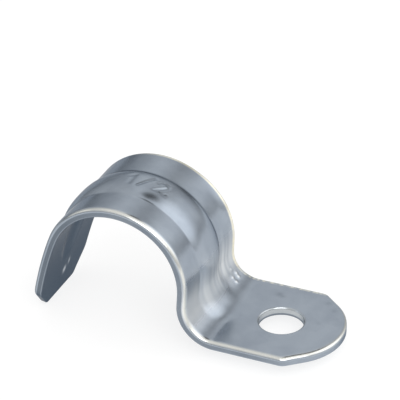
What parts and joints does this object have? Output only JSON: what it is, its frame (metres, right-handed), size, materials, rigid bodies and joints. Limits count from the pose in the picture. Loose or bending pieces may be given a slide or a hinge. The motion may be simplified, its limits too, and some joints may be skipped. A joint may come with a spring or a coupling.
{
  "type": "conduit strap",
  "caption": "One-hole steel strap that holds a round conduit against a wall: a beaded saddle with a flat screw foot on one side and a free splayed leg on the other.",
  "frame": {"origin": "centre of the screw hole on the foot's underside, in the wall's plane", "axes": "+Z away from the wall along the screw, +Y along the conduit, +X from the conduit towards the foot's round end"},
  "size_m": [0.0448, 0.0174, 0.0213],
  "materials": {
    "zinc_plated_steel": "bright zinc plating, satin"
  },
  "bodies": {
    "root": {"conduit_strap": "zinc_plated_steel"}
  },
  "joints": []
}
